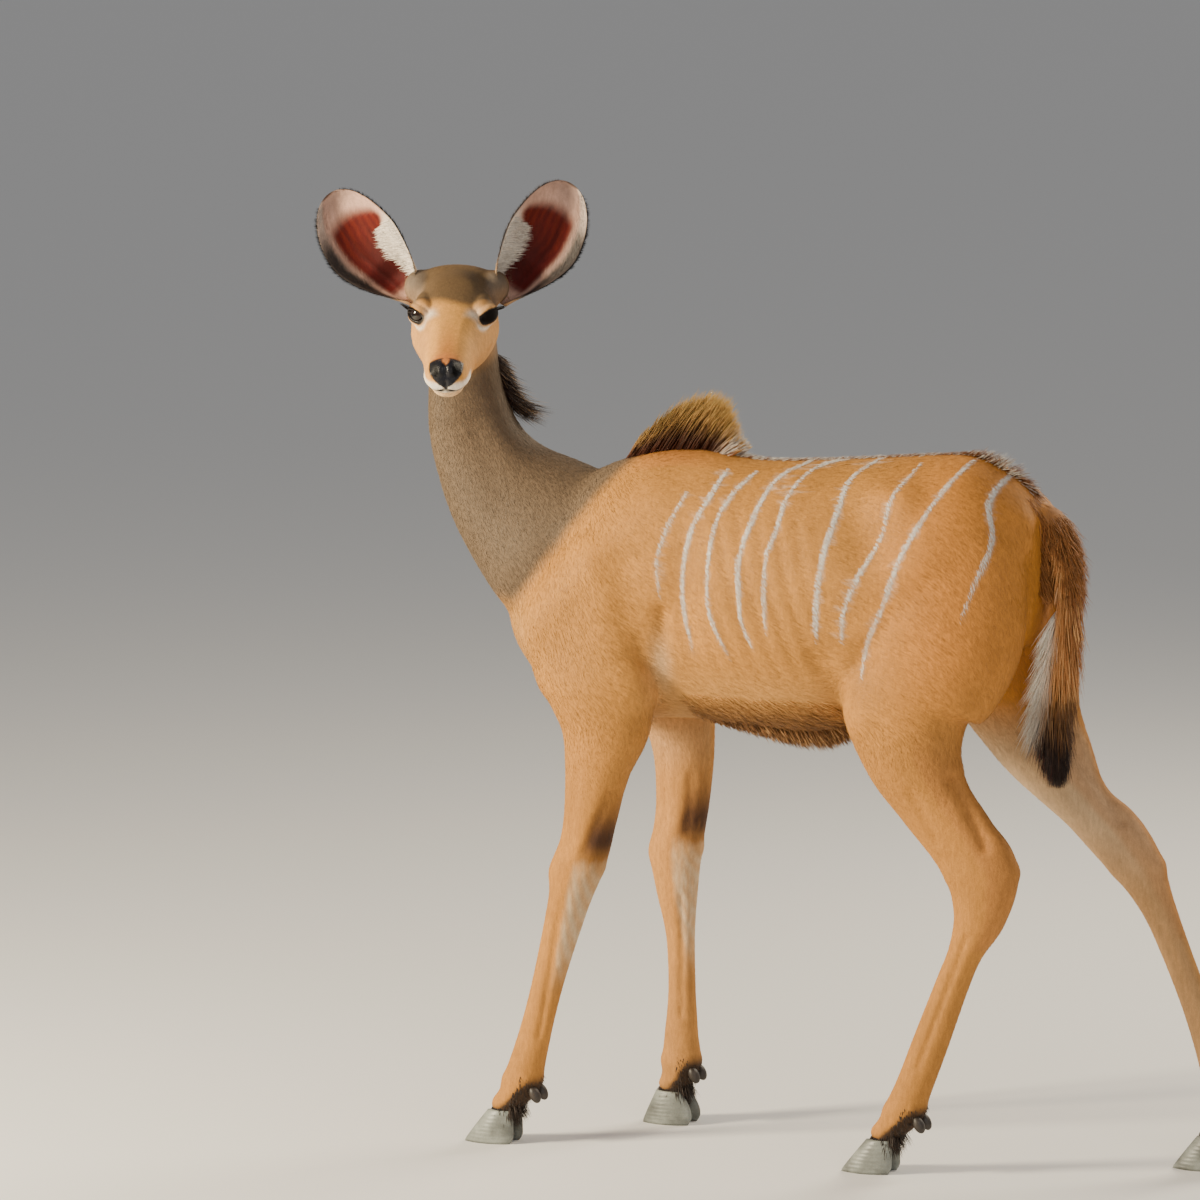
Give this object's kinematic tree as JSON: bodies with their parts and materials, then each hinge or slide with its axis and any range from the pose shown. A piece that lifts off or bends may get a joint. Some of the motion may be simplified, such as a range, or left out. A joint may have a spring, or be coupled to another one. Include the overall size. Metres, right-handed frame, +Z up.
{
  "type": "standing greater kudu cow",
  "caption": "Life-size still model of a young greater kudu cow, standing square on her hooves with her head turned to one side.",
  "frame": {"origin": "middle of the bounding box on the plane of the soles", "axes": "+Z up, -X the way the body faces, -Y toward the animal's left side"},
  "size_m": [1.5604, 0.4948, 1.5973],
  "materials": {
    "coat": "short smooth tan coat, greyer on the neck, with thin white stripes",
    "face": "very short warm tan hair, pale round the eyes and lips",
    "ear": "thin haired skin, deep red inside with a dark rim",
    "hair": "long dark brown hair with golden tips",
    "nose": "damp black nose pad",
    "eye": "wet dark brown, almost black",
    "hoof": "dull grey-olive horn, worn at the edge",
    "dewclaw": "black horn"
  },
  "bodies": {
    "root": {"head": "face", "ear_left": "ear", "ear_right": "ear", "eye_left": "eye", "eye_right": "eye", "neck": "coat", "chest": "coat", "barrel": "coat", "rump": "coat", "tail": "hair", "foreleg_left_upper": "coat", "foreleg_left_lower": "coat", "foreleg_right_upper": "coat", "foreleg_right_lower": "coat", "hindleg_left_upper": "coat", "hindleg_left_lower": "coat", "hindleg_right_upper": "coat", "hindleg_right_lower": "coat", "foreleg_left_claw_inner": "hoof", "foreleg_left_claw_outer": "hoof", "foreleg_right_claw_inner": "hoof", "foreleg_right_claw_outer": "hoof", "hindleg_left_claw_inner": "hoof", "hindleg_left_claw_outer": "hoof", "hindleg_right_claw_inner": "hoof", "hindleg_right_claw_outer": "hoof", "foreleg_left_dewclaw_inner": "dewclaw", "foreleg_left_dewclaw_outer": "dewclaw", "foreleg_right_dewclaw_inner": "dewclaw", "foreleg_right_dewclaw_outer": "dewclaw", "hindleg_left_dewclaw_inner": "dewclaw", "hindleg_left_dewclaw_outer": "dewclaw", "hindleg_right_dewclaw_inner": "dewclaw", "hindleg_right_dewclaw_outer": "dewclaw"}
  },
  "joints": []
}
